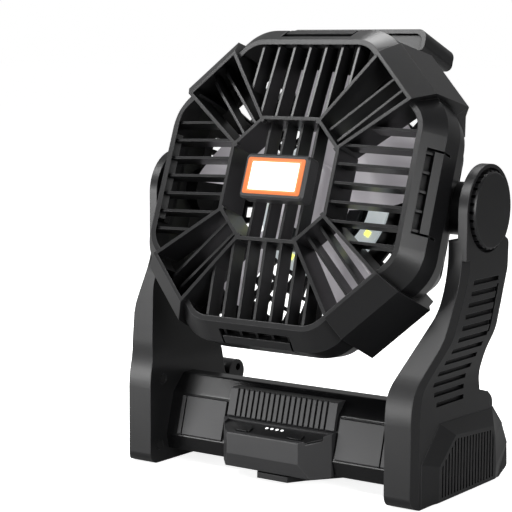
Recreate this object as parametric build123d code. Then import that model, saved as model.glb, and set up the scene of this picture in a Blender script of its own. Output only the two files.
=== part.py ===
from build123d import *
import os
from math import atan2, cos, degrees, pi, radians, sin, sqrt, tan

# Portable camping fan: a tilting head with fan and lamps, carried between two arms on a battery base.
# Millimetres, +Z up, front towards -Y. The origin is on the ground below the middle of the whole fan.

# ---- Driving dimensions: head (u right, v up, w forward, measured from a point on the fan's axis) ----
head_tilt = 20.0             # rest tilt of the head, leaning back
axis_height = 175.3          # height of the head's centre point above the ground
grille_front = 38.0          # w of the front edges of the grille
hub_octagon = 38.5           # half-width across the flats of the inner octagon
hub_octagon_corner = 20.2    # where its corners lie along each side
port_half_inner = 12.9       # half-width of a diagonal port at the inner octagon
port_half_outer = 20.7       # and at its rim
rim_reach = 91.0             # straight side: from the axis to the outer edge of its rim
rim_corner = 43.0            # where a straight side of the rim turns towards the port
rim_front = 34.0             # w of the straight rims
rim_round = 20.0             # rounding of the rim's corners
flare_run = 10.5             # how far a straight side widens behind its rim
parting_run = 7.0            # how far it stands outside its rim at the parting line
rear_run = -7.0              # and at the rear face
port_run = 0.75              # rim of a diagonal port, from the slanting side of the straight rims
port_flare_run = 1.3         # how much further than a straight side a port widens behind its rim
port_parting_run = 5.0       # and from there to the parting line
port_step_run = -6.1         # bevel of a port behind that line
port_rear_run = -0.5         # port at the rear face, from its rim
head_shoulder = 21.8         # w at which the straight flare ends
port_shoulder = 26.7         # w at which a port's flare ends
side_end = 6.0               # w where the straight sides start to taper
parting = -7.0               # w of the parting line between front and rear cover
port_step = -14.0            # w of the end of a port's bevel
rear_face = -34.0            # w of the outside of the rear grille
cover_wall = 3.4             # wall of the front and rear covers
grille_wall = 2.2            # rear wall with the air slots
backing_wall = 2.0           # under a groove
slat_thickness = 1.7
slat_pitch = 11.7
slat_depth = 12.0
slat_back = 16.0             # w of the rear edges of the radial walls
slat_outer_front = 30.5      # w of a slat's front edge at the rim
wall_thickness = 2.2         # radial walls and octagon wall
octagon_back = 15.0          # w of the rear edge of the octagon wall
lamp_shelf = 32.0            # w of the recessed slats that carry the lamp

# ---- Lamp in the middle of the grille ----
lamp_width, lamp_height = 46.8, 28.4       # housing
lamp_front = 42.5                          # w of its front face
frame_width, frame_height = 42.0, 22.9     # orange frame
lens_width, lens_height = 34.6, 17.8       # lens
frame_depth = 1.4

# ---- Fan and motor ----
blade_count = 5
tip_gap = 10.0               # from a blade's tip to the rim
blade_thickness = 1.8
hub_radius = 22.0
hub_front = 8.0
hub_back = -14.0
stator_radius = 16.5
shaft_radius = 2.0
running_gap = 0.05           # radial clearance of a shaft in its bearing
ring_light_inner, ring_light_outer = 33.0, 47.0
ring_light_front = -18.4     # w of the board's front
ring_light_board = 1.6
ring_led_radius = 39.5
ring_led_count = 12
ring_led_start = 4.5         # angle of the first

# ---- Pivot and knobs (measured from the head's centre point, at rest) ----
pivot_back = 14.5            # pivot behind the head's centre point
pivot_drop = 3.1             # and below it
boss_radius = 16.0
boss_run = 9.5               # how far the head's pivot boss stands out from its side
boss_root = 10.0             # and how far it reaches into the rear cover
washer_thickness = 0.9
washer_play = 0.1
ear_radius = 27.5
ear_thickness = 6.0
cap_stand = 2.6              # how far the cap stands out from the ear
cap_rest = 2.6               # depth of the ear's inner skin, which the cap stands on
axle_radius = 5.0

# ---- Arms ----
arm_inner_low = 87.0         # X of the arm's inner face at the foot
foot_width = 20.5
arm_top_step = 6.0           # how far the ear stands out from the arm's inner face
arm_front = -51.0            # Y of the foot's front face
arm_top_front = -13.0        # Y of the arm's front edge below the pivot
arm_chamfer = 3.0            # across the front outer edge
arm_wall = 3.6
slot_count = 12
foot_pad = 0.8               # how far the rubber pads stand out

# ---- Base ----
base_top = 56.3
base_bottom = 8.7
base_wall = 2.6
panel_inner = 42.4           # X of the inner end of each trim panel
panel_margin = 9.0           # from its outer end to the arm
panel_low, panel_high = 19.0, 44.0
module_half = 40.5           # half-width of the control module
nose_half = 26.5             # half-width of its front face
rib_count = 19              # with the two end strips
button_width, button_depth, button_travel = 10.5, 6.5, 1.2
button_stand, button_stem = 0.8, 4.0         # above the panel, and below its underside
dot_pitch = 3.8
cell_radius, cell_length = 10.6, 70.5

# ---- Fits ----
clearance = 0.3              # between pieces that are put in place
face_gap = 0.15              # between flat faces that slide past each other
screw_fit = 0.1              # round a screw

# ---- Pads on the flares, handle, screws ----
groove_start = 5.2           # from the front edge of the flare
groove_width = 5.2           # in front of the pad
pad_gap = 1.4                # at its ends
pad_groove = 5.0             # depth
pad_half_width = 24.6
pad_length = 8.0             # how far the pad runs on along the side wall
pad_lip = 2.0                # thicker wall round the groove
port_slat_front, port_slat_outer = 33.0, 27.0
port_slat_offset = 5.0
# Rear air slots, in rings round the motor and outside the ring light
rear_slot_length, rear_slot_width, rear_slot_rib = 8.2, 7.2, 2.5
rear_slot_start = 4.0        # outside the ring light
inner_slot_width, inner_slot_margin = 5.4, 2.0
slot_spacing = 10.5
# Windows in the side walls behind the parting line
window_width, window_pitch = 8.4, 11.7
window_margin, window_end = 5.0, 4.0        # from the parting line and from the rear face
port_window_margin = 3.0
port_window = 12.0           # centre of a port's window, beside its screw post
handle_half = 51.7
handle_rise = 14.7           # how far the grip stands above the head
handle_low = 0.3             # its lower edge above the head
handle_front, handle_back = -15.0, -54.8
handle_neck = -27.0          # w of the rear of the neck that carries the grip
handle_wall = 4.0
handle_border, handle_recess = 3.0, 1.6
handle_foot = 20.0           # how deep the neck reaches into the head
screw_inset = 20.3           # cover screws: from the port's outside at the parting line
screw_boss_radius = 4.2
screw_boss_front = 8.0
screw_radius = 1.5
screw_head_radius = 3.0
screw_seat = -18.0
stator_front = 2.5
shaft_back = -30.0
blade_middle = -2.0
blade_start = 12.0
# Blade sections: how far along the blade, chord, pitch angle, sweep of the section's middle
blade_stations = [(0.0, 24.0, 40.0, 0.0), (0.323, 34.0, 34.0, 3.0), (0.677, 42.0, 28.0, 8.0),
                  (1.0, 44.0, 24.0, 14.0)]
blade_root = 2.0             # how deep a blade's first section lies in the hub

# ---- Pivot details ----
axle_bite = 14.0             # how deep the axle sits in the boss
cap_radius = 22.9
cap_recess_radius = 25.3
cap_teeth = 30

# ---- Arm details ----
arm_body_top = 156.0
arm_bevel_run = 5.4          # how far the bevel reaches back on the outer face
bevel_top, bevel_steps = 150.5, 28
bend_low, bend_high, front_round = 66.0, 134.5, 60.0     # where the front edge leans back, and its rounding
flare_low, flare_high, face_round = 71.0, 99.0, 30.0     # where the outer face leans out, and its rounding
slot_top, slot_pitch, slot_height, slot_depth = 130.5, 6.4, 2.8, 2.2
slot_margin = 13.0           # from the arm's front edge to a slot
slot_bend, slot_lean = 75.0, 0.7             # height below which the slots end further back, and by how much
slot_rear, slot_rear_bend, slot_rear_lean = 6.5, 72.0, 0.374     # the same for their rear ends
channel_width = 1.8          # groove that joins the rear ends of the upper slots
lug_y, lug_z, lug_radius = 43.0, 47.5, 8.5
lug_hole_y, lug_hole_z, lug_hole = 44.5, 50.5, 2.5        # set high, so that a pin clears the foot cover
lug_notch = 1.0              # how much wider than the hole the skin is cut in front of it
arm_screws = [(-38.1, 54.8), (-41.6, 12.5)]
arm_screw_head, arm_screw_length = 1.6, 10.0
# Foot cover: outline on the arm and outline of its raised face (Y, Z)
pod_thickness = 5.5
pod_base = [(-43.5, 1.7), (-43.5, 27.5), (-22.5, 48.5), (44.0, 47.0), (57.5, 35.0), (65.5, 21.0), (54.0, 1.7)]
pod_top = [(-32.0, 3.4), (-31.0, 24.7), (-12.0, 40.4), (36.5, 37.3), (38.5, 30.0), (40.5, 12.0), (39.5, 3.4)]
pod_rib_pitch, pod_rib_depth, pod_margin = 3.7, 0.9, 2.2
# Outer skin of the arm behind the waist (Y, Z)
arm_skin = [(20.0, 62.0), (29.0, 60.5), (38.5, 58.0), (45.0, 51.0), (46.0, 46.5), (58.5, 34.5),
            (40.0, 30.0), (20.0, 30.0)]

# ---- Base details ----
panel_depth = 1.6            # how deep a trim panel sits in the base, and how far it stands out
panel_raise = 1.4
rib_half = 40.0
rib_end = 5.6                # width of the plain strip at each end
rib_height = 1.2             # of the ribbed panel in front of the trim panels
rib_depth = 1.2
control_y, control_height = -41.0, 32.9      # a point on the panel in the middle of its depth
control_slope = degrees(atan2(5.0, 18.0))
control_depth = 2.4
control_panel_thickness = 1.6
button_x, button_y = 19.2, -1.6
dot_y, dot_radius = 3.7, 1.0
board_top = -9.6
cell_height = 22.3
cell_places = [(x, y) for x in (-36.5, 36.5) for y in (-15.5, 6.5)]
hook_half = 38.0             # half-width over the hook's two legs
hook_leg = 10.5              # width of a leg at the hinge
hook_y, hook_z = 18.5, 4.5   # hinge
hook_pin = 1.2
hook_lug_width = 3.6
hook_lugs = [side * place for side in (-1, 1) for place in
             (hook_half + clearance + hook_lug_width / 2, hook_half - hook_leg - clearance - hook_lug_width / 2)]
hook_thick = 3.6
hook_reach = 62.0            # from the hinge to the tip
stand_shift = -13.51         # puts the middle of the whole fan over the origin

# ---- Sizes that follow from these ----
diagonal = sqrt(0.5)
head_reach = rim_reach + flare_run               # straight side at its widest
parting_reach = rim_reach + parting_run
rear_reach = rim_reach + rear_run
port_root = (hub_octagon + hub_octagon_corner) * diagonal
port_reach = (rim_reach + rim_corner) * diagonal + port_run
port_slope = (port_half_outer - port_half_inner) / (port_reach - port_root)
port_wide = port_reach + flare_run + port_flare_run
port_back = port_wide + port_parting_run
port_step_reach = port_back + port_step_run
rear_port_reach = port_reach + port_rear_run
screw_reach = port_back - screw_inset
beyond = 2 * port_back                           # past the outside of every piece
blade_tip = rim_reach - tip_gap
handle_top, handle_bottom = head_reach + handle_rise, head_reach + handle_low
window_front, window_back = parting - window_margin, rear_face + window_end
pivot_v = pivot_back * sin(radians(head_tilt)) - pivot_drop * cos(radians(head_tilt))
pivot_w = -pivot_back * cos(radians(head_tilt)) - pivot_drop * sin(radians(head_tilt))
pivot_height = axis_height - pivot_drop
boss_start, boss_end = parting_reach - boss_root, head_reach + boss_run
ear_inner = boss_end + washer_thickness + washer_play
arm_inner_top, arm_outer_top = ear_inner - arm_top_step, ear_inner + ear_thickness
cap_seat, knob_face = ear_inner + cap_rest, arm_outer_top + cap_stand
arm_outer_low = arm_inner_low + foot_width
lug_end = arm_outer_low - arm_wall
pod_face = arm_outer_low + pod_thickness
panel_outer = arm_inner_low - panel_margin
parts = {}


# ---- Helpers ----
def rounded_face(corners):
    """Face in the XY plane from (x, y, radius) corners: straight sides joined by tangent arcs."""
    n = len(corners)
    starts, ends, middles = [], [], []
    for i, (x, y, r) in enumerate(corners):
        ax, ay = corners[i - 1][:2]
        bx, by = corners[(i + 1) % n][:2]
        a, b = Vector(ax - x, ay - y).normalized(), Vector(bx - x, by - y).normalized()
        half = radians(a.get_angle(b)) / 2
        if r <= 0:
            starts.append(Vector(x, y)), ends.append(Vector(x, y)), middles.append(None)
            continue
        reach = r / tan(half)
        centre = Vector(x, y) + (a + b).normalized() * (r / sin(half))
        starts.append(Vector(x, y) + a * reach)
        ends.append(Vector(x, y) + b * reach)
        middles.append(centre + (Vector(x, y) - centre).normalized() * r)
    edges = []
    for i in range(n):
        if middles[i] is not None:
            edges.append(ThreePointArc(starts[i], middles[i], ends[i]))
        j = (i + 1) % n
        if (starts[j] - ends[i]).length > 1e-6:
            edges.append(Line(ends[i], starts[j]))
    return make_face(edges)


def side_prism(corners, x_from, x_to):
    """Prism of a (Y, Z) outline between two X planes."""
    face = Plane.YZ * rounded_face(corners)
    return Pos(x_from, 0, 0) * extrude(face, x_to - x_from)


def box(x0, x1, y0, y1, z0, z1):
    return Pos((x0 + x1) / 2, (y0 + y1) / 2, (z0 + z1) / 2) * Box(x1 - x0, y1 - y0, z1 - z0)


def rod(radius, x0, x1, y, z):
    """Cylinder along X."""
    return Pos((x0 + x1) / 2, y, z) * Rot(0, 90, 0) * Cylinder(radius, x1 - x0)


def axial(radius, w0, w1, u=0.0, v=0.0):
    """Cylinder along the head's axis, in head coordinates (X = u, Y = v, Z = w)."""
    return Pos(u, v, (w0 + w1) / 2) * Cylinder(radius, w1 - w0)


def block(u0, u1, v0, v1, w0, w1):
    return box(u0, u1, v0, v1, w0, w1)


def around(shape, count, start=0.0):
    """Copies turned about the head's axis."""
    return [Rot(0, 0, start + 360.0 / count * i) * shape for i in range(count)]


def mirrored(shape):
    return mirror(shape, Plane.YZ)


def head(shape):
    """From head coordinates (u, v, w) to the part's frame, with the head leaning back."""
    return Pos(0, 0, axis_height) * Rot(-head_tilt, 0, 0) * Rot(90, 0, 0) * shape


def group(shapes):
    """Separate solids of one kind, kept as one piece."""
    return Part() + shapes


def add(name, shape):
    parts[name] = shape


# ---- Head: outline sections ----
def octagon(reach, corner, radius, w):
    """Eight-sided section with rounded corners at height w, in head coordinates."""
    pts = [(corner, reach), (reach, corner), (reach, -corner), (corner, -reach),
           (-corner, -reach), (-reach, -corner), (-reach, corner), (-corner, reach)]
    return Pos(0, 0, w) * rounded_face([(x, y, radius) for x, y in pts])


def grown(reach, corner, radius, by):
    """Section values of the same octagon with every side moved outwards."""
    return reach + by, corner + by * tan(radians(22.5)), radius + by


def octagon_body(inset):
    """Solid inside the straight sides of the head's front half, with all walls moved in."""
    flare = head_reach - rim_reach
    front = grown(rim_reach, rim_corner, rim_round, -inset)
    wide = grown(rim_reach, rim_corner, rim_round, flare - inset)
    a = octagon(*front, rim_front)
    b = octagon(*wide, head_shoulder)
    c = octagon(*wide, side_end)
    d = octagon(*grown(rim_reach, rim_corner, rim_round, parting_reach - rim_reach - inset), parting)
    body = loft([a, b], ruled=True) + loft([b, c], ruled=True) + loft([c, d], ruled=True)
    if inset:
        body += extrude(a, 0.5) + extrude(d, -0.5)
    return body


def port_wedge(inset, reach, w0, w1):
    """Tapered prism between a port's two side walls, pointing along +u."""
    def half(d):
        return port_half_inner + port_slope * (d - port_root) - inset
    d0 = port_root - wall_thickness
    pts = [(d0, -half(d0)), (reach, -half(reach)), (reach, half(reach)), (d0, half(d0))]
    return extrude(Pos(0, 0, w0) * make_face(Polyline(*pts, close=True)), w1 - w0)


def port_profile(inset, w0, w1):
    """Prism of a port's outer face from w0, at or behind the parting line, to w1, pointing along +u."""
    pts = [(0, w0), (port_back - inset, w0), (port_back - inset, parting),
           (port_wide - inset, port_shoulder), (port_reach - inset, grille_front),
           (port_reach - inset, w1), (0, w1)]
    pts = [point for i, point in enumerate(pts) if point != pts[i - 1]]
    return Pos(0, 40, 0) * extrude(Plane.XZ * make_face(Polyline(*pts, close=True)), 80)


def port_body(inset, w0, w1):
    return port_wedge(inset, port_back + 1, w0, w1) & port_profile(inset, w0, w1)


def port_side(y):
    """How far a port's side wall has moved sideways at a distance from the axis along a straight sector."""
    start, end = port_root - port_half_inner, port_root + port_half_inner
    rise = (y / diagonal - end) / (port_reach - port_root + port_half_outer - port_half_inner)
    return (start + rise * (port_reach - port_root - port_half_outer + port_half_inner)) * diagonal


# ---- Front cover ----
def flare_point(along, depth):
    """(D, w) of a point on a straight flare, measured from its front edge and below its surface."""
    du, dw = head_reach - rim_reach, head_shoulder - rim_front
    length = sqrt(du * du + dw * dw)
    return (rim_reach + (du * along + dw * depth) / length, rim_front + (dw * along - du * depth) / length)


def flare_prism(along, depth, half_width):
    """Prism on the top flare from a distance behind its front edge, over the shoulder to the side wall."""
    end_w = head_shoulder - pad_length
    pts = [flare_point(along, 0), flare_point(along, -3), (head_reach + 3, head_shoulder + 1),
           (head_reach + 3, end_w), (head_reach - depth, end_w),
           (head_reach - depth, head_shoulder - 0.4 * depth), flare_point(along, depth)]
    return extrude(Plane.YZ * make_face(Polyline(*pts, close=True)), half_width, both=True)


def build_front_cover():
    beside = port_wedge(0, beyond, parting, grille_front + 1) - port_profile(0, parting, grille_front + 1)
    outer = octagon_body(0) - around(beside, 4, 45)
    cavity = octagon_body(cover_wall)
    port = port_body(0, parting, grille_front)
    hollow = port_body(wall_thickness, parting - 1, grille_front + 1)
    shell = outer + around(port, 4, 45) - cavity - around(hollow, 4, 45)

    # Grooves that leave a raised pad on each straight flare, in a thicker stretch of wall
    backing = flare_prism(groove_start - pad_lip, pad_groove + backing_wall,
                          pad_half_width + pad_gap + pad_lip)
    shell += around(backing & outer, 4)
    groove = flare_prism(groove_start, pad_groove, pad_half_width + pad_gap)
    groove -= flare_prism(groove_start + groove_width, 2 * pad_groove, pad_half_width)
    shell -= around(groove & outer, 4)

    # Octagon wall round the middle
    half, corner = hub_octagon, hub_octagon_corner
    ring = octagon(*grown(half, corner, 0, wall_thickness / 2), octagon_back)
    hole = octagon(*grown(half, corner, 0, -wall_thickness / 2), octagon_back)
    depth = grille_front - octagon_back
    octagon_wall = extrude(ring, depth) - extrude(hole, depth)

    # Radial walls on both sides of each port
    wall = port_wedge(0, port_reach - 1, slat_back, grille_front)
    wall -= port_wedge(wall_thickness, port_reach, slat_back - 1, grille_front + 1)
    opening = extrude(hole, 3 * depth, both=True)
    walls = [piece - opening for piece in around(wall, 4, 45)]

    # Straight sectors: upright slats whose front edges slope back from the octagon to the rim
    inner_front = grille_front - 0.8
    edge = make_face(Polyline((half - 0.5, inner_front - slat_depth), (half - 0.5, inner_front),
                              (head_reach, slat_outer_front), (head_reach, slat_outer_front - slat_depth),
                              close=True))
    sector = make_face(Polyline((-corner - 1, half - 0.5), (corner + 1, half - 0.5),
                                (port_side(rim_reach) + 1, rim_reach), (head_reach, head_reach),
                                (-head_reach, head_reach), (-port_side(rim_reach) - 1, rim_reach), close=True))
    sector = extrude(Pos(0, 0, slat_back - 1) * sector, 40)
    slats = [Pos(k * slat_pitch, 0, 0) * extrude(Plane.YZ * edge, slat_thickness / 2, both=True)
             for k in range(-3, 4)]
    within = octagon_body(cover_wall - 0.5) + extrude(
        octagon(*grown(rim_reach, rim_corner, rim_round, 0.5 - cover_wall), rim_front), 4)
    slats = (Part() + slats) & sector & within

    # Ports: two lower slats each, which stop short of the rim in front
    slat = Plane.XZ * make_face(Polyline(
        (port_root - 1, port_slat_front - slat_depth), (port_root - 1, port_slat_front),
        (port_reach, port_slat_outer), (port_back - 1, slat_back - 3), (port_back - 1, slat_back - 6), close=True))
    bars = [Pos(0, side * port_slat_offset, 0) * extrude(slat, slat_thickness / 2, both=True)
            for side in (-1, 1)]
    boss = axial(screw_boss_radius, parting, screw_boss_front, screw_reach)
    boss += block(screw_reach, port_back, -1.1, 1.1, parting, screw_boss_front)
    within_port = port_body(0.8, parting, grille_front)
    bars = [piece & within_port for piece in bars]
    boss &= within_port
    boss -= axial(screw_radius + screw_fit, parting - 1, screw_boss_front - 3, screw_reach)

    # Middle: four recessed slats that carry the lamp
    slat = block(-slat_thickness / 2, slat_thickness / 2, -half, half, lamp_shelf - slat_depth, lamp_shelf)
    middle = [Pos(k * slat_pitch, 0, 0) * slat for k in (-1.5, -0.5, 0.5, 1.5)]

    cover = shell + octagon_wall + walls + middle
    for turn in range(4):
        cover += Rot(0, 0, 90 * turn) * slats
        cover += [Rot(0, 0, 90 * turn + 45) * piece for piece in bars + [boss]]
    # Notches for the pivot bosses of the rear cover
    for side in (-1, 1):
        cover -= Pos(side * (boss_start + boss_end) / 2, pivot_v, pivot_w) * Rot(0, 90, 0) * Cylinder(
            boss_radius + 0.1, boss_end - boss_start)
    # The grille is all that lies inside the rim and the ports' front plates
    inside = octagon(*grown(rim_reach, rim_corner, rim_round, -cover_wall), screw_boss_front)
    region = extrude(inside, beyond)
    region += around(port_wedge(0, port_reach - wall_thickness, screw_boss_front, beyond), 4, 45)
    return cover - region, cover & region


# ---- Rear cover and handle ----
def rear_shell(inset):
    """Solid inside the tapered rear half, with all walls moved in."""
    front = octagon(*grown(rim_reach, rim_corner, rim_round, parting_reach - rim_reach - inset), parting)
    back = octagon(*grown(rim_reach, rim_corner, rim_round, rear_reach - rim_reach - inset), rear_face)
    body = loft([front, back], ruled=True)
    half = port_half_outer + 6
    quarter = make_face(Polyline((port_root, parting), (port_back - inset, parting),
                                 (port_step_reach - inset, port_step), (rear_port_reach - inset, rear_face),
                                 (port_root, rear_face), close=True))
    port = Pos(0, half, 0) * extrude(Plane.XZ * quarter, 2 * half)
    port = port & port_wedge(inset, port_back + 1, rear_face - 1, parting + 1)
    return body + around(port, 4, 45)


def build_rear_cover():
    wall = block(-beyond, beyond, -beyond, beyond, rear_face - 1, rear_face + grille_wall)
    shell = rear_shell(0) - (rear_shell(cover_wall) - wall)
    # Air slots in rings
    rings = [((hub_radius + ring_light_inner) / 2, ring_light_inner - hub_radius - 2 * inner_slot_margin,
              inner_slot_width)]
    start, end = ring_light_outer + rear_slot_start, rear_reach - cover_wall
    count = max(1, round((end - start + rear_slot_rib) / (rear_slot_length + rear_slot_rib)))
    pitch = (end - start + rear_slot_rib) / count
    rings += [(start + pitch * i + (pitch - rear_slot_rib) / 2, pitch - rear_slot_rib, rear_slot_width)
              for i in range(count)]
    slots = []
    for radius, length, width in rings:
        slot = block(radius - length / 2, radius + length / 2, -width / 2, width / 2,
                     rear_face - 1, rear_face + grille_wall + 1)
        slots += around(slot, round(2 * pi * radius / slot_spacing))
    shell -= slots
    # Windows in the side walls: beside the pivot bosses, along the bottom and beside the screw posts
    window = block(rear_reach - 10, head_reach, -window_width / 2, window_width / 2, window_back, window_front)
    for turn, places in ((0, (-3, -2, 2, 3)), (180, (-3, -2, 2, 3)), (270, range(-3, 4))):
        shell -= [Rot(0, 0, turn) * Pos(0, k * window_pitch, 0) * window for k in places]
    port_opening = block(rear_port_reach - 12, port_back, -window_width / 2, window_width / 2,
                         window_back, port_step - port_window_margin)
    for side in (-1, 1):
        shell -= around(Pos(0, side * port_window, 0) * port_opening, 4, 45)
    # Ring wall for the light board and seat for the motor
    ring_back = ring_light_front - ring_light_board
    shell += axial(ring_light_outer, rear_face + 1, ring_back) - axial(
        ring_light_outer - 2.5, rear_face, ring_back + 1)
    # Screw posts, open to the rear
    for post in around(axial(screw_boss_radius + 1.2, rear_face + 1, parting, screw_reach), 4, 45):
        shell += post & rear_shell(0.5)
    shell -= around(axial(screw_head_radius + 0.5, rear_face - 8, screw_seat, screw_reach), 4, 45)
    shell -= around(axial(screw_radius + screw_fit, screw_seat - 1, parting + 1, screw_reach), 4, 45)
    # Pivot bosses
    for side in (-1, 1):
        boss = Pos(side * (boss_start + boss_end) / 2, pivot_v, pivot_w) * Rot(0, 90, 0) * Cylinder(
            boss_radius, boss_end - boss_start)
        bore = Pos(side * boss_end, pivot_v, pivot_w) * Rot(0, 90, 0) * Cylinder(
            axle_radius, 2 * axle_bite)
        shell = shell + boss - bore
    return shell


def build_handle():
    """Grip box behind the top edge, with a framed front and a finger pocket at the rear."""
    outline = [(-handle_half, handle_bottom, 4), (handle_half, handle_bottom, 4),
               (handle_half, handle_top, 6), (-handle_half, handle_top, 6)]
    shape = extrude(Pos(0, 0, handle_back) * rounded_face(outline), handle_front - handle_back)
    shape = chamfer(shape.faces().sort_by(Axis.Z)[0].edges(), 1.2)
    shape += block(handle_wall - handle_half, handle_half - handle_wall, head_reach - handle_foot,
                   handle_top - handle_wall, handle_neck, handle_front)
    inner, upper = handle_half - handle_border, handle_top - handle_border
    lower = head_reach - handle_foot
    frame = [(-inner, lower, 0), (inner, lower, 0), (inner, upper, 5), (-inner, upper, 5)]
    shape -= extrude(Pos(0, 0, handle_front - handle_recess) * rounded_face(frame), 2 * handle_recess)
    side = handle_half - handle_wall - 1
    pocket = block(-side, side, handle_bottom - 1,
                   handle_top - handle_wall, handle_back + handle_wall, handle_neck)
    shape -= fillet(pocket.edges().filter_by(Axis.Z), 3)
    return shape - rear_shell(0)


# ---- Lamp ----
def rounded_block(width, height, radius, w0, w1):
    corners = [(-width / 2, -height / 2, radius), (width / 2, -height / 2, radius),
               (width / 2, height / 2, radius), (-width / 2, height / 2, radius)]
    return extrude(Pos(0, 0, w0) * rounded_face(corners), w1 - w0)


def build_lamp():
    housing = rounded_block(lamp_width, lamp_height, 3, lamp_shelf, lamp_front)
    housing = chamfer(housing.faces().sort_by(Axis.Z)[-1].edges(), 1.4)
    housing -= rounded_block(frame_width, frame_height, 1.5, lamp_front - frame_depth, lamp_front + 1)
    housing -= rounded_block(lens_width - 1, lens_height - 1, 1, lamp_shelf + 2, lamp_front)
    frame = rounded_block(frame_width, frame_height, 1.5, lamp_front - frame_depth, lamp_front + 0.2)
    frame -= rounded_block(lens_width, lens_height, 1, lamp_front - 2, lamp_front + 1)
    lens = rounded_block(lens_width, lens_height, 1, lamp_front - frame_depth, lamp_front + 0.5)
    lens = fillet(lens.faces().sort_by(Axis.Z)[-1].edges(), 0.4)
    board = rounded_block(lens_width - 1, lens_height - 1, 1, lamp_shelf + 2, lamp_shelf + 3.6)
    for u in (-12, -4, 4, 12):
        for v in (-4, 4):
            board += block(u - 1.75, u + 1.75, v - 1.75, v + 1.75, lamp_shelf + 3, lamp_shelf + 4.4)
    return housing, frame, lens, board


# ---- Fan ----
def build_fan():
    hub = axial(hub_radius, hub_back, hub_front)
    hub = fillet(hub.faces().sort_by(Axis.Z)[-1].edges(), 4)
    hub -= axial(hub_radius - 2, hub_back - 1, hub_front - 2.5)
    hub += axial(shaft_radius + 2.5, stator_front + 0.8, hub_front - 1)
    blade = []
    start, end = hub_radius - blade_root, blade_tip + 1
    for share, chord, pitch, sweep in blade_stations:
        section = rounded_face([(-chord / 2 + sweep, -blade_thickness / 2, 0.6),
                                (chord / 2 + sweep, -blade_thickness / 2, 0.6),
                                (chord / 2 + sweep, blade_thickness / 2, 0.6),
                                (-chord / 2 + sweep, blade_thickness / 2, 0.6)])
        plane = Plane(origin=(start + share * (end - start), 0, blade_middle), x_dir=(0, 1, 0), z_dir=(1, 0, 0))
        blade.append(plane * Rot(0, 0, pitch) * section)
    blade = loft(blade) & (axial(blade_tip, -60, 60) - axial(hub_radius - 1, -60, 60))
    rotor = hub
    for piece in around(blade, blade_count, blade_start):
        rotor += piece
    return rotor - axial(shaft_radius, hub_back - 1, hub_front - 3)


def build_motor():
    """Bearing housing with stator teeth that stands on the rear cover."""
    floor = rear_face + grille_wall
    body = axial(hub_radius - 1, floor, floor + 4)
    body += axial(8, floor, stator_front)
    for tooth in range(9):
        body += Rot(0, 0, 40 * tooth) * block(6, stator_radius - 1.5, -1.6, 1.6, hub_back + 3, stator_front - 3)
        face = axial(stator_radius, hub_back + 2, stator_front - 2) - axial(stator_radius - 2, -60, 60)
        body += face & Rot(0, 0, 40 * tooth) * block(8, 20, -4.6, 4.6, -60, 60)
    return body - axial(shaft_radius + running_gap, shaft_back - 0.3, stator_front + 1)


# ---- Arms ----
arm_side = [(arm_front, foot_pad, 7), (arm_front, bend_low, front_round), (arm_top_front, bend_high, front_round),
            (arm_top_front, arm_body_top, 0), (34.0, arm_body_top, 0), (40.5, 152.5, 4),
            (40.0, 136.0, 12), (21.5, 88.0, 26), (29.5, 49.0, 6), (44.0, 39.5, 3), (57.5, 34.0, 4),
            (65.0, 20.5, 4), (66.0, 6.0, 3), (55.0, foot_pad, 4)]
arm_face = [(arm_inner_low, 0.0, 0), (arm_outer_low, 0.0, 0), (arm_outer_low, flare_low, face_round),
            (arm_outer_top, flare_high, face_round), (arm_outer_top, 200.0, 0), (arm_inner_top, 200.0, 0),
            (arm_inner_top, 114.0, face_round), (arm_inner_low, 69.0, face_round)]


def arm_blank(inset):
    side = rounded_face([(y, z, 0) for y, z, r in arm_side]) if inset else rounded_face(arm_side)
    face = rounded_face([(x, z, 0) for x, z, r in arm_face]) if inset else rounded_face(arm_face)
    if inset:
        side, face = offset(side, -inset), offset(face, -inset)
    return extrude(Plane.YZ * side, 200) & extrude(Plane.XZ * face, 100, both=True)


def bend(z, low, z_low, high, z_high, radius):
    """Where a line is at height z that stands at low, leans over to high between two heights, and stands
    again, with both corners rounded."""
    lean = atan2(high - low, z_high - z_low)
    reach, rise = radius * tan(lean / 2), radius * sin(lean)
    if z < z_low - reach:
        return low
    if z < z_low - reach + rise:
        return low + radius - sqrt(radius ** 2 - (z - z_low + reach) ** 2)
    if z > z_high + reach:
        return high
    if z > z_high + reach - rise:
        return high - radius + sqrt(radius ** 2 - (z_high + reach - z) ** 2)
    return low + (high - low) * (z - z_low) / (z_high - z_low)


def arm_front_edge(z):
    """Y of the arm's front edge at a height."""
    return bend(z, arm_front, bend_low, arm_top_front, bend_high, front_round)


def arm_outer_at(z):
    """X of the arm's outer face at a height."""
    return bend(z, arm_outer_low, flare_low, arm_outer_top, flare_high, face_round)


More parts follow.
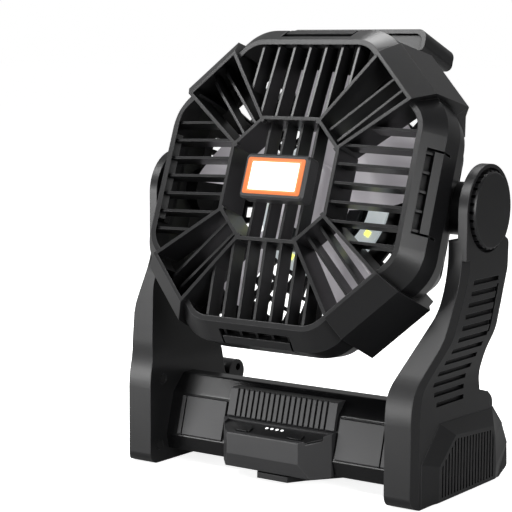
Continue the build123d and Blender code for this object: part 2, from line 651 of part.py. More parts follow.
def build_arm():
    body = arm_blank(0)
    # Bevel along the front outer edge, from the foot to the ear
    sections = []
    for i in range(bevel_steps + 1):
        z = (bevel_top + 4) * i / bevel_steps - 4
        x, y = arm_outer_at(z), arm_front_edge(z)
        corner = [(x - arm_chamfer, y), (x - arm_chamfer - 1.5, y - 2.7), (x + 4, y - 2.7),
                  (x + 4, y + arm_bevel_run + 7.2), (x, y + arm_bevel_run)]
        sections.append(Pos(0, 0, z) * make_face(Polyline(*corner, close=True)))
    body -= loft(sections, ruled=True)
    # Ear round the pivot
    ear = [(arm_top_front, arm_body_top - 12, 0), (arm_top_front, pivot_height, 0),
           (30.0, pivot_height, 0), (34.0, arm_body_top + 1, 3), (38.0, arm_body_top - 12, 0)]
    body += side_prism(ear, ear_inner, arm_outer_top)
    body += rod(ear_radius, ear_inner, arm_outer_top, pivot_back, pivot_height)
    body -= rod(boss_radius + 2, arm_inner_low, ear_inner, pivot_back, pivot_height)
    # Recess for the pivot cap, and the hole for the axle
    body -= rod(cap_recess_radius, cap_seat, arm_outer_top + 1, pivot_back, pivot_height)
    body -= rod(axle_radius + running_gap, arm_inner_low, arm_outer_top, pivot_back, pivot_height)
    cavity = arm_blank(arm_wall)
    body -= cavity - rod(ear_radius + 3, arm_inner_low, arm_outer_top + 1, pivot_back, pivot_height)
    # Skin that carries on behind the waist, over the lug and down to the foot cover
    body += side_prism([(y, z, 0) for y, z in arm_skin], arm_outer_low - arm_wall, arm_outer_low)
    # Slots that follow the bend of the arm
    for i in range(slot_count):
        z = slot_top - i * slot_pitch
        y0, y1 = slot_span(z)
        outer = arm_outer_at(z)
        body -= box(outer - slot_depth, outer + 4, y0, y1, z - slot_height / 2, z + slot_height / 2)
    top = slot_top - slot_pitch / 2
    y0, y1 = slot_span(top)[1], slot_span(flare_high)[1]
    body -= side_prism([(y0 - 0.5, top, 0), (y0 + channel_width, top, 0),
                        (y1 + channel_width, flare_high, 0), (y1 - 0.5, flare_high, 0)],
                       arm_outer_top - slot_depth, arm_outer_top + 1)
    # Rear lug
    lug = rod(lug_radius, arm_inner_low, lug_end, lug_y, lug_z)
    lug += box(arm_inner_low, lug_end, lug_y - 12, lug_y + 3, 30, lug_z)
    body += lug
    body -= rod(lug_hole, arm_inner_low - 1, lug_end + 0.5, lug_hole_y, lug_hole_z)
    body -= rod(lug_hole + lug_notch, lug_end, arm_outer_low + 1, lug_hole_y, lug_hole_z)
    # Screw seats on the inner face
    for y, z in arm_screws:
        body -= rod(screw_head_radius + clearance, arm_inner_low - 1, arm_inner_low + arm_screw_head, y, z)
        body -= rod(screw_radius + screw_fit / 2, arm_inner_low, arm_inner_low + arm_screw_length + 1, y, z)
    return body


def slot_span(z):
    """Front and rear end of a slot at a height."""
    front = arm_front_edge(z) + slot_margin + max(0, slot_bend - z) * slot_lean
    rear = slot_rear + max(0, z - slot_rear_bend) * slot_rear_lean
    return front, rear


def build_cap():
    """Round cap on the axle, with square teeth round its side."""
    disc = rod(cap_radius, knob_face - 1.6, knob_face, pivot_back, pivot_height)
    disc = chamfer(disc.faces().sort_by(Axis.X)[-1].edges(), 0.8)
    cap = disc + rod(cap_radius - 2.2, cap_seat + face_gap, knob_face - 1, pivot_back, pivot_height)
    tooth = box(cap_seat + face_gap, knob_face - 1, -1.5, 1.5, cap_radius - 3, cap_radius + 0.6)
    middle = Pos(0, pivot_back, pivot_height)
    return cap + [middle * Rot(360 / cap_teeth * i, 0, 0) * tooth for i in range(cap_teeth)]


def build_foot_cover():
    """Raised cover on the outside of a foot, with sloping sides and upright ribs."""
    base, top = [Plane.YZ * make_face(Polyline(*outline, close=True)) for outline in (pod_base, pod_top)]
    cover = loft([Pos(arm_outer_low, 0, 0) * base, Pos(pod_face, 0, 0) * top], ruled=True)
    field = offset(make_face(Polyline(*pod_top, close=True)), -pod_margin)
    field = extrude(Pos(pod_face - pod_rib_depth, 0, 0) * (Plane.YZ * field), 2 * pod_rib_depth)
    start, end = pod_top[0][0], pod_top[-1][0]
    groove = box(arm_outer_low, pod_face + 1, start, start + pod_rib_pitch / 2, 0, base_top)
    grooves = [Pos(0, i * pod_rib_pitch, 0) * groove for i in range(int((end - start) / pod_rib_pitch) + 1)]
    return cover - (group(grooves) & field)


# ---- Base ----
base_side = [(-32.0, base_bottom, 0), (-34.3, 18.0, 2), (-27.0, 45.0, 3), (-16.0, base_top, 3),
             (-5.3, base_top, 6), (18.0, 49.0, 4), (24.5, 40.0, 5), (24.5, 16.0, 4), (17.0, base_bottom, 2)]
front_slope = degrees(atan2(34.3 - 27.0, 45.0 - 18.0))


def front_plane(z, out=0.0):
    """Y of the base's front face at a height, moved outwards."""
    return -34.3 + (z - 18.0) * tan(radians(front_slope)) - out / cos(radians(front_slope))


def build_base():
    shell = side_prism(base_side, -arm_inner_low, arm_inner_low)
    inner = offset(rounded_face([(y, z, 0) for y, z, r in base_side]), -base_wall)
    cavity = Pos(-arm_inner_low + base_wall, 0, 0) * extrude(Plane.YZ * inner, 2 * (arm_inner_low - base_wall))
    lower = box(-arm_inner_low + base_wall, arm_inner_low - base_wall, -28.0, 15.0,
                base_bottom - 1, base_bottom + base_wall + 0.2)
    shell = shell - cavity - lower
    for side in (-1, 1):
        x0, x1 = sorted((side * panel_inner, side * panel_outer))
        pocket = side_prism([(front_plane(panel_low) - 2, panel_low, 0),
                             (front_plane(panel_high) - 2, panel_high, 0),
                             (front_plane(panel_high, -panel_depth), panel_high, 0),
                             (front_plane(panel_low, -panel_depth), panel_low, 0)], x0, x1)
        shell -= pocket
    # Lugs for the hook's pins
    for place in hook_lugs:
        lug = side_prism([(hook_y - 3.6, base_bottom + 1.5, 0), (hook_y - 2.6, hook_z - 2.4, 1.4),
                          (hook_y + 2.6, hook_z - 2.4, 1.4), (hook_y + 4.4, base_bottom + 4, 0)],
                         place - hook_lug_width / 2, place + hook_lug_width / 2)
        shell += lug - cavity
    shell -= rod(hook_pin, -hook_half - 4, hook_half + 4, hook_y, hook_z)
    # Opening behind the control module
    shell -= box(-30, 30, -40, -20, 20, 30)
    return shell


def build_trim_panel():
    x0, x1 = panel_inner + clearance, panel_outer - clearance
    z0, z1 = panel_low + clearance, panel_high - clearance
    panel = side_prism([(front_plane(z0, panel_raise), z0, 0), (front_plane(z1, panel_raise), z1, 0),
                        (front_plane(z1, -panel_depth), z1, 0), (front_plane(z0, -panel_depth), z0, 0)], x0, x1)
    panel = chamfer(panel.faces().sort_by(Axis.Y)[0].edges(), 0.8)
    step = side_prism([(front_plane(z0 - 1, panel_raise + 1), z0 - 1, 0),
                       (front_plane(z1 + 1, panel_raise + 1), z1 + 1, 0),
                       (front_plane(z1 + 1), z1 + 1, 0), (front_plane(z0 - 1), z0 - 1, 0)], x1 - 3.6, x1 - 2.6)
    return panel - step


def build_ribbed_panel():
    z0, z1 = 35.8, 53.4
    out = rib_height + 1.5
    panel = side_prism([(front_plane(z0) + 3, z0, 0), (front_plane(z0, out), z0, 1.0),
                        (front_plane(z1, out), z1, 1.0), (-8.0, z1, 0)], -rib_half, rib_half)
    panel -= side_prism(base_side, -rib_half - 1, rib_half + 1)
    inner = 2 * rib_half - 2 * rib_end
    pitch = inner / (rib_count - 1.5)
    for i in range(rib_count - 1):
        x = -rib_half + rib_end + i * pitch
        groove = side_prism([(front_plane(z0 - 2, out - rib_depth), z0 - 2, 0),
                             (front_plane(z0 - 2, out + 2), z0 - 2, 0), (front_plane(z1 + 2, out + 2), z1 + 2, 0),
                             (front_plane(z1 + 2, out - rib_depth), z1 + 2, 0)], x, x + pitch / 2.6)
        panel -= groove
    return panel


def module_plan(inset, y_back):
    return [(-module_half + inset, y_back), (-module_half + inset, -35.0 + inset * 0.4),
            (-nose_half + inset * 0.4, -51.0 + inset), (nose_half - inset * 0.4, -51.0 + inset),
            (module_half - inset, -35.0 + inset * 0.4), (module_half - inset, y_back)]


module_side = [(-30.0, base_bottom, 0), (-45.0, 7.5, 1), (-51.0, 17.2, 1), (-51.0, 30.5, 0.8),
               (-33.0, 35.5, 0), (-29.0, 35.5, 0)]


def control_frame(shape):
    """Places a piece on the control panel: z is the panel's normal, y points to the rear."""
    return Pos(0, control_y, control_height) * Rot(control_slope, 0, 0) * shape


def build_control_housing():
    plan = extrude(make_face(Polyline(*module_plan(0, -25.0), close=True)), 60)
    body = plan & side_prism(module_side, -60, 60)
    inside = extrude(make_face(Polyline(*module_plan(base_wall, -25.0), close=True)), 60)
    inner = [(-25.0, 10.6, 0), (-44.0, 9.8, 0), (-48.4, 17.8, 0), (-48.4, 27.0, 0), (-33.0, 30.2, 0),
             (-25.0, 30.2, 0)]
    body -= inside & side_prism(inner, -60, 60)
    outline = make_face(Polyline(*[(x, y - control_y) for x, y in panel_outline(0)], close=True))
    body -= control_frame(Pos(0, 0, -control_depth) * extrude(outline, 10))
    body -= control_frame(block(-28, 28, -5.8, 5.0, -10, 0))
    return body - side_prism(base_side, -60, 60)


def panel_outline(inset):
    return [(-29.5 + inset, -48.2 + inset), (29.5 - inset, -48.2 + inset),
            (37.0 - inset, -39.5), (37.0 - inset, -34.4 - inset), (-37.0 + inset, -34.4 - inset),
            (-37.0 + inset, -39.5)]


def build_control_panel():
    outline = make_face(Polyline(*[(x, y - control_y) for x, y in panel_outline(clearance)], close=True))
    panel = control_frame(Pos(0, 0, -control_depth) * extrude(outline, control_panel_thickness))
    for side in (-1, 1):
        x = side * button_x
        panel -= control_frame(Pos(x, button_y, 0) * rounded_block(
            button_width + 2 * clearance, button_depth + 2 * clearance, 2, -10, 10))
    for i in range(4):
        panel -= control_frame(Pos(dot_pitch * (i - 1.5), dot_y, 0) * Cylinder(dot_radius, 20))
    return panel


def build_button(side):
    top = -control_depth + control_panel_thickness + button_stand
    button = Pos(side * button_x, button_y, 0) * (
        rounded_block(button_width, button_depth, 1.8, -control_depth - 1.4, top)
        + rounded_block(3, 3, 1, -control_depth - button_stem, -control_depth - 1))
    return control_frame(button)


def build_control_board():
    board = block(-27, 27, -4.0, 4.4, board_top - 1.6, board_top)
    for side in (-1, 1):
        x = side * button_x
        # The switch is reached at the end of the button's travel
        board += block(x - 3, x + 3, button_y - 3, button_y + 3, board_top,
                       -control_depth - button_stem - button_travel - clearance)
    return control_frame(board)


def build_indicators():
    pegs = [Pos(dot_pitch * (i - 1.5), dot_y, 0) * extrude(Pos(0, 0, board_top) * Circle(dot_radius),
            -control_depth + control_panel_thickness - board_top + 0.15) for i in range(4)]
    return group([control_frame(p) for p in pegs])


def build_bottom_cover():
    plate = box(-arm_inner_low + base_wall + clearance, arm_inner_low - base_wall - clearance,
                -28.0 + clearance, 15.0 - clearance, base_bottom, base_bottom + base_wall)
    # Cradles for the battery cells
    for x in (-60.0, -12.0, 12.0, 60.0):
        plate += box(x - 2, x + 2, -27, 14.5, base_bottom + 1, base_bottom + base_wall + 6)
    for x, y in cell_places:
        plate -= rod(cell_radius + 0.1, x - cell_length / 2 - 1, x + cell_length / 2 + 1, y, cell_height)
    return plate


def build_hook():
    """Flat hook folded under the base: two legs, a slanting strut and brace, and an open hook at the tip."""
    h, r = hook_half, hook_reach
    outline = [(-h, 0), (-h, 12), (17.5, 37.5), (12, 50), (9, r - 5.5), (-5, r - 5.5), (-12, 45), (-17, 47.5),
               (-8.5, r), (14, r), (20, 51), (h, 26), (h, 0), (h - hook_leg, 0), (h - hook_leg, 18),
               (24, 33.5), (-h + hook_leg, 10), (-h + hook_leg, 0)]
    plate = extrude(make_face(Polyline(*[(x, -y) for x, y in outline], close=True)), hook_thick)
    brace = make_face(Polyline((-2, -27.5), (3.5, -30.5), (h - 8, -15), (h - 8, -9.5), close=True))
    brace = extrude(brace, hook_thick)
    plate = Pos(0, hook_y, hook_z - hook_thick / 2) * (plate + brace)
    for side in (-1, 1):
        x0, x1 = sorted((side * h, side * (h - hook_leg)))
        plate += rod(hook_thick / 2 + 0.3, x0, x1, hook_y, hook_z)
    return plate - rod(hook_pin + running_gap, -h - 1, h + 1, hook_y, hook_z)


# ---- Build every piece ----
front_cover, front_grille = build_front_cover()
add("front_cover", head(front_cover))
add("front_grille", head(front_grille))
add("rear_cover", head(build_rear_cover()))
add("top_handle", head(build_handle()))
for name, shape in zip(("lamp_housing", "lamp_frame", "lamp_lens", "lamp_board"), build_lamp()):
    add(name, head(shape))

board_back = ring_light_front - ring_light_board
add("ring_light_board", head(axial(ring_light_outer, board_back, ring_light_front)
                             - axial(ring_light_inner, -60, 0)))
led = block(ring_led_radius - 1.8, ring_led_radius + 1.8, -1.8, 1.8, ring_light_front, ring_light_front + 1)
add("ring_light_leds", head(group(around(led, ring_led_count, ring_led_start))))
add("motor_housing", head(build_motor()))
screw = axial(screw_head_radius, screw_seat - 2.4, screw_seat, screw_reach) + axial(
    screw_radius, screw_seat - 1, screw_boss_front - 4, screw_reach)
add("cover_screws", head(group(around(screw, 4, 45))))

add("fan_rotor", head(build_fan()))
add("motor_shaft", head(axial(shaft_radius, shaft_back, hub_front - 3)))

arm = build_arm()
cap = build_cap()
foot_cover = build_foot_cover()
for side, turn in (("right", lambda shape: shape), ("left", mirrored)):
    add(f"{side}_arm", turn(arm))
    add(f"{side}_foot_cover", turn(foot_cover))
    axle = rod(axle_radius, boss_end - axle_bite, cap_seat + face_gap, pivot_back, pivot_height)
    add(f"{side}_pivot_axle", turn(axle))
    add(f"{side}_pivot_cap", turn(cap))
washer = rod(13, boss_end, boss_end + washer_thickness, pivot_back, pivot_height) - rod(
    axle_radius + 0.1, boss_end - 1, ear_inner, pivot_back, pivot_height)
add("pivot_washers", group([washer, mirrored(washer)]))

add("base_housing", build_base())
add("bottom_cover", build_bottom_cover())
trim = build_trim_panel()
add("right_trim_panel", trim)
add("left_trim_panel", mirrored(trim))
add("ribbed_panel", build_ribbed_panel())
add("control_housing", build_control_housing())
add("control_panel", build_control_panel())
add("speed_button", build_button(1))
add("light_button", build_button(-1))
add("control_board", build_control_board())
add("indicator_lights", build_indicators())
cells = [rod(cell_radius, x - cell_length / 2, x + cell_length / 2, y, cell_height) for x, y in cell_places]
add("battery_cells", group(cells))
add("folding_hook", build_hook())
pin = rod(hook_pin, hook_half - hook_leg - hook_lug_width, hook_half + hook_lug_width, hook_y, hook_z)
add("hook_pins", group([pin, mirrored(pin)]))

screws = []
for y, z in arm_screws:
    screw = rod(screw_head_radius, arm_inner_low, arm_inner_low + arm_screw_head, y, z) + rod(
        screw_radius, arm_inner_low + 1, arm_inner_low + arm_screw_length, y, z)
    screws += [screw, mirrored(screw)]
add("arm_screws", group(screws))
pad = box(arm_inner_low + 3, arm_outer_low - 3, -40, -24, 0, foot_pad)
pads = [pad, Pos(0, 62, 0) * pad]
add("rubber_feet", group(pads + [mirrored(p) for p in pads]))

os.makedirs("parts", exist_ok=True)
for name, shape in parts.items():
    export_step(Pos(0, stand_shift, 0) * shape, f"parts/{name}.step")
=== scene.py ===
"""Looks of a portable camping fan: moulded plastic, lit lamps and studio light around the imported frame.
Lengths are in metres, +Z is up, and the fan faces -Y."""

import math

import bpy
import numpy as np
from mathutils import Matrix, Vector

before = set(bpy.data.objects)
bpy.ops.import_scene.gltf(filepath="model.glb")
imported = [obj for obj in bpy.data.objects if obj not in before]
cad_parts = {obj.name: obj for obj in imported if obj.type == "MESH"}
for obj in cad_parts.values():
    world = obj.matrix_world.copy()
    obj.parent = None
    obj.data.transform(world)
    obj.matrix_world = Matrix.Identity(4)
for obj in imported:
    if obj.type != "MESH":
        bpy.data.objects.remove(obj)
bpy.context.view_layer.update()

MM = 0.001
GROOVE = 6.0        # width of the grooves and gaps that get painted shade, in millimetres
LEAN = math.radians(20)     # how far the head leans back at rest


def colour(hex_code):
    """An sRGB hex value as linear red, green, blue and alpha."""
    part = np.array([int(hex_code[i:i + 2], 16) / 255 for i in (1, 3, 5)])
    linear = np.where(part <= 0.04045, part / 12.92, ((part + 0.055) / 1.055) ** 2.4)
    return (*linear.tolist(), 1.0)


def add(tree, kind, links=None, settings=None, **properties):
    """Adds a node with its properties, its socket settings and the links that feed it."""
    node = tree.nodes.new(kind)
    for name, value in properties.items():
        setattr(node, name, value)
    for socket, value in (settings or {}).items():
        node.inputs[socket].default_value = value
    for socket, source in (links or {}).items():
        tree.links.new(source, node.inputs[socket])
    return node


def blank(name):
    """A new material, its empty node tree and its output node."""
    material = bpy.data.materials.new(name)
    material.use_nodes = True
    tree = material.node_tree
    tree.nodes.clear()
    return material, tree, add(tree, "ShaderNodeOutputMaterial")


def moulded(name, body, painted_edge_highlight, rough, grain, depth, edge, **shine):
    """Injection-moulded plastic. grain and depth are the mould's spark-eroded texture and edge is the radius
    that the eye sees on every arris, all in millimetres. Every arris is tinted towards a lighter colour as a
    painted highlight for the light that rounded edges catch; narrow grooves get painted shade, which darkens
    their colour and dims their reflection; and flow marks about 35 mm across change the colour and gloss a
    little."""
    material, tree, output = blank(name)
    place = add(tree, "ShaderNodeTexCoord").outputs["Object"]
    texture = add(tree, "ShaderNodeTexNoise", {"Vector": place}, {"Scale": 1 / (grain * MM), "Detail": 2.0})
    flow = add(tree, "ShaderNodeTexNoise", {"Vector": place}, {"Scale": 1 / (35 * MM), "Detail": 3.0})
    rounded = add(tree, "ShaderNodeBevel", settings={"Radius": edge * MM}, samples=4)
    flat = add(tree, "ShaderNodeNewGeometry")
    agree = add(tree, "ShaderNodeVectorMath", {0: rounded.outputs[0], 1: flat.outputs["Normal"]},
                operation="DOT_PRODUCT")
    # Painted highlight: the colour is lightened on every arris, standing in for the light that rounded edges
    # catch.
    arris = add(tree, "ShaderNodeMapRange", {"Value": agree.outputs["Value"]},
                {"From Min": 0.99, "From Max": 0.86, "To Min": 0.0, "To Max": 1.0})
    low, high = (tuple((np.array(colour(body)[:3]) * k).tolist()) + (1.0,) for k in (0.88, 1.12))
    cloudy = add(tree, "ShaderNodeMix", {0: flow.outputs["Fac"]}, {6: low, 7: high}, data_type="RGBA")
    tint = add(tree, "ShaderNodeMix", {0: arris.outputs[0], 6: cloudy.outputs[2]}, {7: colour(painted_edge_highlight)},
               data_type="RGBA")
    gloss = add(tree, "ShaderNodeMapRange", {"Value": flow.outputs["Fac"]},
                {"To Min": rough * 0.9, "To Max": rough * 1.1})
    relief = add(tree, "ShaderNodeBump", {"Height": texture.outputs["Fac"], "Normal": rounded.outputs[0]},
                 {"Strength": 0.6, "Distance": depth * MM})
    # Painted shade: an ambient occlusion node, local to each piece, darkens the colour and the reflection in
    # grooves and gaps.
    around = add(tree, "ShaderNodeAmbientOcclusion", settings={"Distance": GROOVE * MM}, samples=4,
                 only_local=True)
    open_to_light = add(tree, "ShaderNodeMapRange", {"Value": around.outputs["AO"]},
                        {"From Min": 0.25, "From Max": 0.85, "To Min": 0.12, "To Max": 1.0})
    shaded = add(tree, "ShaderNodeVectorMath", {0: tint.outputs[2], 3: open_to_light.outputs[0]},
                 operation="SCALE")
    sheen = add(tree, "ShaderNodeMath", {0: open_to_light.outputs[0]},
                {1: shine.pop("Specular IOR Level", 0.5)}, operation="MULTIPLY")
    shader = add(tree, "ShaderNodeBsdfPrincipled", {"Base Color": shaded.outputs[0],
                 "Roughness": gloss.outputs[0], "Normal": relief.outputs[0],
                 "Specular IOR Level": sheen.outputs[0]}, shine)
    tree.links.new(shader.outputs[0], output.inputs["Surface"])
    return material


def plain(name, body, rough, grain, depth, **shine):
    """A finish with one colour, a fine texture of the given grain and depth in millimetres."""
    material, tree, output = blank(name)
    place = add(tree, "ShaderNodeTexCoord").outputs["Object"]
    texture = add(tree, "ShaderNodeTexNoise", {"Vector": place}, {"Scale": 1 / (grain * MM), "Detail": 3.0})
    low, high = (tuple((np.array(colour(body)[:3]) * k).tolist()) + (1.0,) for k in (0.92, 1.08))
    cloudy = add(tree, "ShaderNodeMix", {0: texture.outputs["Fac"]}, {6: low, 7: high}, data_type="RGBA")
    relief = add(tree, "ShaderNodeBump", {"Height": texture.outputs["Fac"]},
                 {"Strength": 0.5, "Distance": depth * MM})
    shader = add(tree, "ShaderNodeBsdfPrincipled", {"Base Color": cloudy.outputs[2],
                 "Normal": relief.outputs[0]}, {"Roughness": rough, **shine})
    tree.links.new(shader.outputs[0], output.inputs["Surface"])
    return material


def glow_by_lens(name, body, rough, near, far, start, end, strength):
    """Plastic that glows: the lens as the lamp itself, the border with a painted glow for the lamp behind it.
    The glow fades from near to far between two distances outside the lens' edge, in millimetres."""
    upright = np.array(Matrix.Rotation(LEAN, 3, "X"))
    lens = np.array([tuple(v.co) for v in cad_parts["lamp_lens"].data.vertices]) @ upright.T
    low, high = lens.min(axis=0), lens.max(axis=0)
    material, tree, output = blank(name)
    place = add(tree, "ShaderNodeTexCoord").outputs["Object"]
    turned = add(tree, "ShaderNodeVectorRotate", {"Vector": place}, {"Angle": LEAN}, rotation_type="X_AXIS")
    offset = add(tree, "ShaderNodeVectorMath", {0: turned.outputs[0]}, {1: ((low + high) / 2).tolist()},
                 operation="SUBTRACT")
    spread = add(tree, "ShaderNodeVectorMath", {0: offset.outputs[0]}, operation="ABSOLUTE")
    outside = add(tree, "ShaderNodeVectorMath", {0: spread.outputs[0]}, {1: ((high - low) / 2).tolist()},
                  operation="SUBTRACT")
    parts = add(tree, "ShaderNodeSeparateXYZ", {0: outside.outputs[0]})
    edge = add(tree, "ShaderNodeMath", {0: parts.outputs["X"], 1: parts.outputs["Z"]}, operation="MAXIMUM")
    fade = add(tree, "ShaderNodeMapRange", {"Value": edge.outputs[0]},
               {"From Min": start * MM, "From Max": end * MM})
    tint = add(tree, "ShaderNodeMix", {0: fade.outputs[0]}, {6: colour(near), 7: colour(far)}, data_type="RGBA")
    shader = add(tree, "ShaderNodeBsdfPrincipled", {"Emission Color": tint.outputs[2]},
                 {"Base Color": colour(body), "Roughness": rough, "IOR": 1.53, "Emission Strength": strength})
    tree.links.new(shader.outputs[0], output.inputs["Surface"])
    return material


# The shell is black ABS from a spark-eroded mould: a soft, even sheen over a very fine grain.
satin_abs = moulded("satin_black_abs", "#131314", "#363637", 0.32, 0.9, 0.03, 0.5,
                    **{"IOR": 1.53, "Specular IOR Level": 0.3})
# Arms and base come from a coarser mould than the head, so their sheen is broader.
arm_abs = moulded("matt_black_abs", "#131314", "#343435", 0.38, 1.2, 0.05, 0.6,
                  **{"IOR": 1.53, "Specular IOR Level": 0.3})
# The base is the same ABS from a polished mould, so it mirrors more of the room.
gloss_abs = moulded("gloss_black_abs", "#0c0c0d", "#303031", 0.26, 2.0, 0.02, 0.5,
                    **{"IOR": 1.53, "Specular IOR Level": 0.28})
# Trim, ribs and the control and lamp housings are black ABS painted a shade lighter than the base that they sit
# in: a painted highlight for the light that their faces catch.
lightened_black_abs = moulded("black_abs_painted_lighter", "#2a2a2b", "#4c4c4d", 0.42, 1.2, 0.04, 0.4,
                   **{"IOR": 1.53, "Specular IOR Level": 0.3})
# The control panel is polished ABS: sharp reflections and no grain.
polished_abs = moulded("polished_black_abs", "#0c0c0d", "#2c2c2d", 0.28, 3.0, 0.01, 0.3,
                       **{"IOR": 1.53, "Specular IOR Level": 0.5})
# The blades are smoke-grey polycarbonate that lets some light through. Their pale colour and their glow are
# painted light, standing in for the ring light that shines on them from behind.
smoke_pc_painted_glow = moulded("smoke_polycarbonate", "#d2d0d4", "#e6e4e8", 0.22, 4.0, 0.01, 0.4,
                   **{"IOR": 1.58, "Transmission Weight": 0.2, "Emission Color": colour("#cbc6cc"),
                      "Emission Strength": 0.26})
# The lamp's border is translucent orange ABS; its glow from the lamp behind it is painted, brightest next to
# the lens.
orange_abs = glow_by_lens("glowing_orange_abs", "#b4560c", 0.35, "#ffbe78", "#9a4a08", 0.0, 1.3, 0.5)
# The lens is an opal diffuser in front of the lamp board: white, and warmer where it meets the border.
opal_lens = glow_by_lens("opal_diffuser", "#fffaf4", 0.35, "#fffaf2", "#ffd49c", -1.8, 0.2, 1.2)
# Both lamp boards have a white solder mask, which is smooth; its glow is painted light for the LEDs' light that
# it throws forward.
white_mask_painted_glow = plain("white_solder_mask", "#d6dadb", 0.3, 2.0, 0.01,
                   **{"Emission Color": colour("#d2dde0"), "Emission Strength": 0.42})
# Each light-emitting chip shows its yellow phosphor, lit.
phosphor = plain("lit_phosphor", "#eef08a", 0.4, 0.5, 0.02,
                 **{"Emission Color": colour("#eaee66"), "Emission Strength": 1.6})
# The four indicators are clear light pipes that end flush with the panel.
light_pipe = plain("lit_light_pipe", "#f6f6f6", 0.2, 0.8, 0.01,
                   **{"Emission Color": colour("#ffffff"), "Emission Strength": 0.8})
green_mask = plain("green_solder_mask", "#1d5a38", 0.35, 1.5, 0.02)
turned_steel = plain("turned_steel", "#b4b6b8", 0.32, 0.4, 0.01, **{"Metallic": 1.0})
black_oxide = plain("black_oxide_steel", "#0b0b0c", 0.5, 0.4, 0.01)
shrink_sleeve = plain("shrink_sleeve", "#3f6fae", 0.3, 6.0, 0.02)
motor_abs = moulded("motor_grey_abs", "#3a3b3d", "#626365", 0.4, 1.0, 0.03, 0.4)
silicone = plain("silicone_rubber", "#202020", 0.75, 0.6, 0.05)

FINISHES = {
    satin_abs: ["front_cover", "front_grille", "rear_cover", "top_handle", "left_pivot_cap", "right_pivot_cap"],
    lightened_black_abs: ["left_trim_panel", "right_trim_panel", "ribbed_panel", "control_housing", "lamp_housing"],
    arm_abs: ["left_arm", "right_arm", "left_foot_cover", "right_foot_cover", "bottom_cover",
              "folding_hook"],
    gloss_abs: ["base_housing"],
    polished_abs: ["control_panel", "speed_button", "light_button"],
    smoke_pc_painted_glow: ["fan_rotor"],
    orange_abs: ["lamp_frame"],
    opal_lens: ["lamp_lens"],
    white_mask_painted_glow: ["lamp_board", "ring_light_board"],
    phosphor: ["ring_light_leds"],
    light_pipe: ["indicator_lights"],
    green_mask: ["control_board"],
    turned_steel: ["motor_shaft", "hook_pins", "left_pivot_axle", "right_pivot_axle"],
    black_oxide: ["cover_screws", "arm_screws"],
    shrink_sleeve: ["battery_cells"],
    motor_abs: ["motor_housing"],
    silicone: ["rubber_feet", "pivot_washers"],
}
for material, names in FINISHES.items():
    for name in names:
        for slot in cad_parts[name].material_slots:
            slot.material = material


# Studio: a pale floor, a high soft light ahead on the left, a low strip beside it, and a pale room.
def soft_light(name, place, aim, width, height, watts):
    """A flat soft light, width by height, at place and facing aim."""
    lamp = bpy.data.lights.new(name, "AREA")
    lamp.shape, lamp.size, lamp.size_y, lamp.energy = "RECTANGLE", width, height, watts
    holder = bpy.data.objects.new(name, lamp)
    bpy.context.scene.collection.objects.link(holder)
    holder.location = place
    holder.rotation_euler = (Vector(aim) - Vector(place)).to_track_quat("-Z", "Y").to_euler()


def seen_share(tree, rays):
    """How much of the pale room a ray sees: all of it straight or through clear plastic, little mirrored."""
    looked_at = add(tree, "ShaderNodeMath", {0: rays.outputs["Is Camera Ray"],
                    1: rays.outputs["Is Transmission Ray"]}, operation="MAXIMUM")
    return add(tree, "ShaderNodeMath", {0: rays.outputs["Is Glossy Ray"], 2: looked_at.outputs[0]},
               {1: MIRRORED}, operation="MULTIPLY_ADD").outputs[0]


CENTRE = (0.0, 0.0, 0.14)       # middle of the fan, which every light faces
MIRRORED = 0.15                 # how strongly polished and satin plastic show the pale room
FLOOR_MIRRORED = 0.4            # and the lit floor
FLOOR_HALF = 30.0
soft_light("key_light", (-0.80, -0.75, 1.30), CENTRE, 0.6, 0.6, 20)
soft_light("low_strip", (-0.95, -1.35, 0.14), CENTRE, 1.1, 0.28, 18)
soft_light("right_panel", (1.00, -0.62, 0.42), CENTRE, 0.4, 0.5, 9)
soft_light("top_panel", (-0.15, 0.55, 1.30), CENTRE, 0.7, 0.5, 10)

world = bpy.data.worlds.new("pale_room")
bpy.context.scene.world = world
world.use_nodes = True
tree = world.node_tree
tree.nodes.clear()
shown = seen_share(tree, add(tree, "ShaderNodeLightPath"))
lighting = add(tree, "ShaderNodeBackground", settings={"Color": colour("#ffffff"), "Strength": 0.15})
backdrop = add(tree, "ShaderNodeBackground", settings={"Color": colour("#ffffff"), "Strength": 1.0})
both = add(tree, "ShaderNodeMixShader", {0: shown, 1: lighting.outputs[0], 2: backdrop.outputs[0]})
add(tree, "ShaderNodeOutputWorld", {"Surface": both.outputs[0]})

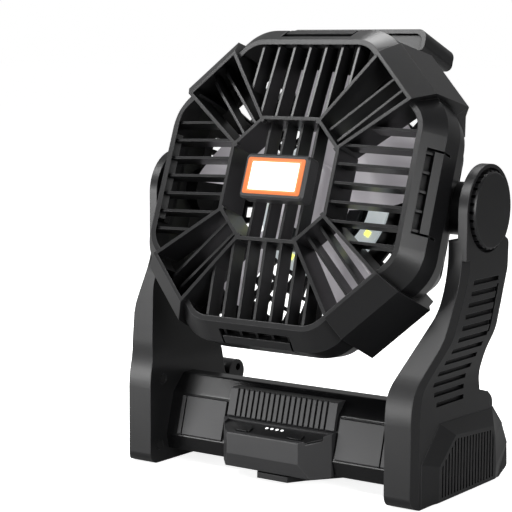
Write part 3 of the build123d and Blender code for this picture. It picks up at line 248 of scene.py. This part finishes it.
corners = np.array([(-1, -1, 0), (1, -1, 0), (1, 1, 0), (-1, 1, 0)]) * FLOOR_HALF
floor_mesh = bpy.data.meshes.new("studio_floor")
floor_mesh.from_pydata(corners.tolist(), [], [(0, 1, 2, 3)])
floor = bpy.data.objects.new("studio_floor", floor_mesh)
bpy.context.scene.collection.objects.link(floor)
paper, tree, output = blank("pale_paper")
fibre = add(tree, "ShaderNodeTexNoise", {"Vector": add(tree, "ShaderNodeTexCoord").outputs["Object"]},
            {"Scale": 1 / (2 * MM), "Detail": 2.0})
lift = add(tree, "ShaderNodeBump", {"Height": fibre.outputs["Fac"]}, {"Strength": 0.3, "Distance": 0.02 * MM})
matt = add(tree, "ShaderNodeBsdfPrincipled", {"Normal": lift.outputs[0]},
           {"Base Color": colour("#f4f4f4"), "Roughness": 0.9, "Specular IOR Level": 0.1})
glow = add(tree, "ShaderNodeEmission", settings={"Color": colour("#ffffff"), "Strength": 0.86})
rays = add(tree, "ShaderNodeLightPath")
dark = add(tree, "ShaderNodeEmission", settings={"Strength": 0.0})
lit = add(tree, "ShaderNodeMixShader", {0: seen_share(tree, rays), 1: dark.outputs[0], 2: glow.outputs[0]})
total = add(tree, "ShaderNodeAddShader", {0: matt.outputs[0], 1: lit.outputs[0]})
hidden = add(tree, "ShaderNodeMath", {0: rays.outputs["Is Glossy Ray"]}, {1: 1 - FLOOR_MIRRORED},
             operation="MULTIPLY")
shown = add(tree, "ShaderNodeMixShader", {0: hidden.outputs[0], 1: total.outputs[0], 2: dark.outputs[0]})
tree.links.new(shown.outputs[0], output.inputs["Surface"])
floor_mesh.materials.append(paper)

# Camera: a long lens a metre away, 35 degrees round to the right and 7 degrees up.
AZIMUTH, ELEVATION, ROLL = (math.radians(a) for a in (35.24, 6.83, 0.32))
STANDPOINT = (0.57816, -0.88993, 0.26301)
FOCAL_LENGTH, FILM_WIDTH = 118.3, 36.0
back = Vector((math.sin(AZIMUTH) * math.cos(ELEVATION), -math.cos(AZIMUTH) * math.cos(ELEVATION),
               math.sin(ELEVATION)))
right = Vector((math.cos(AZIMUTH), math.sin(AZIMUTH), 0.0))
up = back.cross(right)
across = right * math.cos(ROLL) + up * math.sin(ROLL)
upward = up * math.cos(ROLL) - right * math.sin(ROLL)
lens = bpy.data.cameras.new("camera")
lens.lens, lens.sensor_width, lens.clip_start = FOCAL_LENGTH, FILM_WIDTH, 0.01
camera = bpy.data.objects.new("camera", lens)
bpy.context.scene.collection.objects.link(camera)
camera.matrix_world = Matrix.Translation(STANDPOINT) @ Matrix((across, upward, back)).transposed().to_4x4()
bpy.context.scene.camera = camera
bpy.context.scene.view_settings.view_transform = "Standard"
